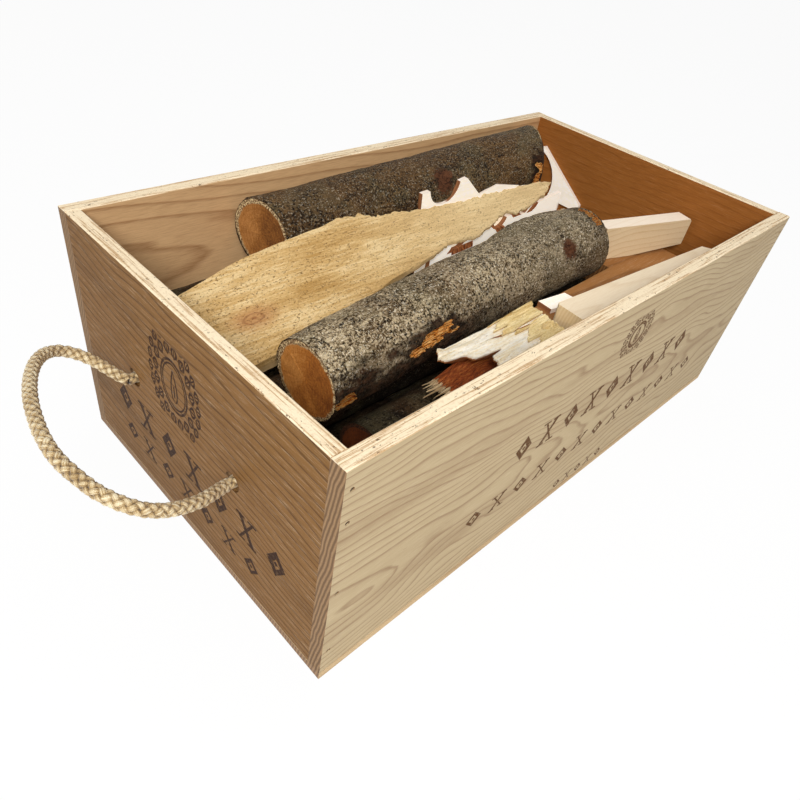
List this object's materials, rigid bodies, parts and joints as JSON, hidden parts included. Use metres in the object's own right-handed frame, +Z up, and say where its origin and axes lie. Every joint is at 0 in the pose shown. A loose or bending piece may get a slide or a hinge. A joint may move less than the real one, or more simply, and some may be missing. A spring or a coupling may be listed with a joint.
{
  "type": "kindling box",
  "caption": "Open nailed pine case with a plaited rope handle at each end, loaded with bark-covered logs, a split plank, scalloped slats and torn kindling.",
  "frame": {"origin": "centre of the underside of the base panel, on the plane the box stands on", "axes": "+X along the box's length to the right end, +Y from the front board to the back board, +Z up"},
  "size_m": [0.6584, 0.272, 0.1809],
  "materials": {
    "pine": "matte",
    "bark": "matte",
    "split": "matte",
    "pale": "matte",
    "old": "matte",
    "rope": "matte",
    "nail": "satin"
  },
  "bodies": {
    "box": {"front_board": "pine", "back_board": "pine", "left_end_board": "pine", "right_end_board": "pine", "base_panel": "pine", "corner_nails": "nail", "base_nails": "nail", "left_rope_knots": "rope", "right_rope_knots": "rope", "base_log_1": "bark", "base_log_2": "bark", "base_log_3": "bark", "base_log_4": "bark", "front_inner_log": "bark", "middle_inner_log": "bark", "thin_inner_log": "bark", "rear_inner_log": "bark", "back_log": "bark", "rear_slat": "pale", "end_slat": "pale", "under_slat": "pale", "slat_offcut": "pale", "old_board": "old"},
    "middle_log": {"middle_log": "bark"},
    "split_plank": {"split_plank": "split"},
    "torn_billet": {"torn_billet": "split"},
    "front_stick": {"front_stick": "split"},
    "pine_batten": {"pine_batten": "split"},
    "left_handle": {"left_rope_handle": "rope"},
    "right_handle": {"right_rope_handle": "rope"}
  },
  "joints": [
    {"name": "middle_log_lift", "type": "slide", "parent": "box", "child": "middle_log", "axis": [0, 0, 1], "range_m": [0, 0.12]},
    {"name": "split_plank_lift", "type": "slide", "parent": "box", "child": "split_plank", "axis": [0, 0, 1], "range_m": [0, 0.12]},
    {"name": "torn_billet_lift", "type": "slide", "parent": "box", "child": "torn_billet", "axis": [0, 0, 1], "range_m": [0, 0.12]},
    {"name": "front_stick_lift", "type": "slide", "parent": "box", "child": "front_stick", "axis": [0, 0, 1], "range_m": [0, 0.12]},
    {"name": "pine_batten_lift", "type": "slide", "parent": "box", "child": "pine_batten", "axis": [0, 0, 1], "range_m": [0, 0.12]},
    {"name": "left_handle_swing", "type": "hinge", "parent": "box", "child": "left_handle", "pos_m": [-0.2543, 0.005, 0.094], "axis": [0, 1, 0], "range_deg": [-112, 55]},
    {"name": "right_handle_swing", "type": "hinge", "parent": "box", "child": "right_handle", "pos_m": [0.2543, 0.005, 0.094], "axis": [0, -1, 0], "range_deg": [-112, 55]}
  ]
}
